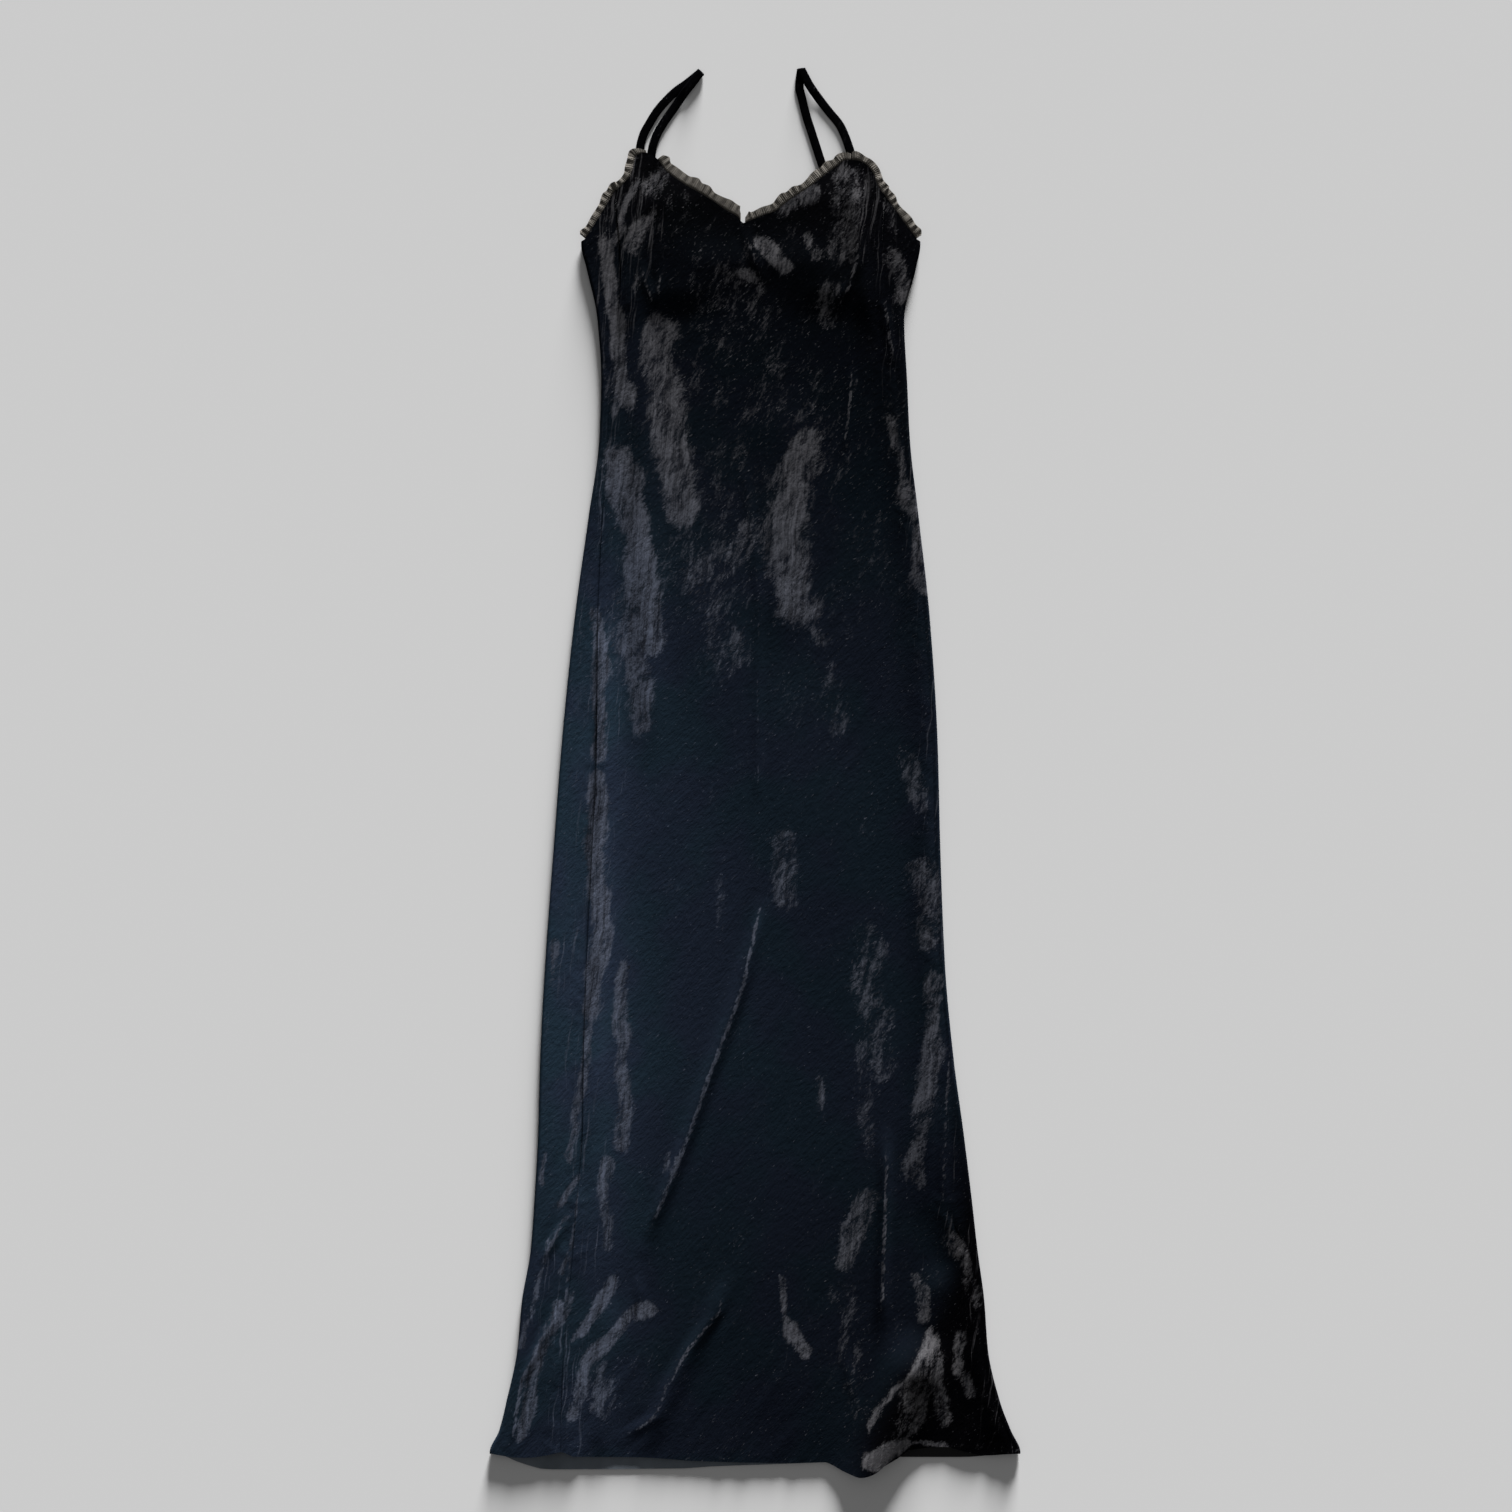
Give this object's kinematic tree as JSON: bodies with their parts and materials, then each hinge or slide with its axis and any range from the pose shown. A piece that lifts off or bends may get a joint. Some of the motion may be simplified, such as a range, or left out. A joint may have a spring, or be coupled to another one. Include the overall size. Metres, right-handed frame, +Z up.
{
  "type": "velvet dress",
  "caption": "Long slip dress in crushed velvet, laid flat on its back, with a V neck, thin folded straps and a gathered net ruffle round the top edge.",
  "frame": {"origin": "middle of the bounding box's underside, on the surface that the dress lies on", "axes": "+X to the right as seen from above, +Y from the hem to the straps, +Z up, away from the surface"},
  "size_m": [0.557, 1.4777, 0.0174],
  "materials": {
    "crushed_velvet": "crushed pile velvet, near black with a navy cast",
    "strap_velvet": "the same velvet, turned into narrow straps",
    "net_trim": "fine matt net, gathered, grey brown"
  },
  "bodies": {
    "root": {"front_panel": "crushed_velvet", "back_panel": "crushed_velvet", "strap_left": "strap_velvet", "strap_right": "strap_velvet", "ruffle_neck_left": "net_trim", "ruffle_neck_right": "net_trim", "ruffle_arm_left": "net_trim", "ruffle_arm_right": "net_trim", "ruffle_back_left": "net_trim", "ruffle_back_centre": "net_trim", "ruffle_back_right": "net_trim"}
  },
  "joints": []
}
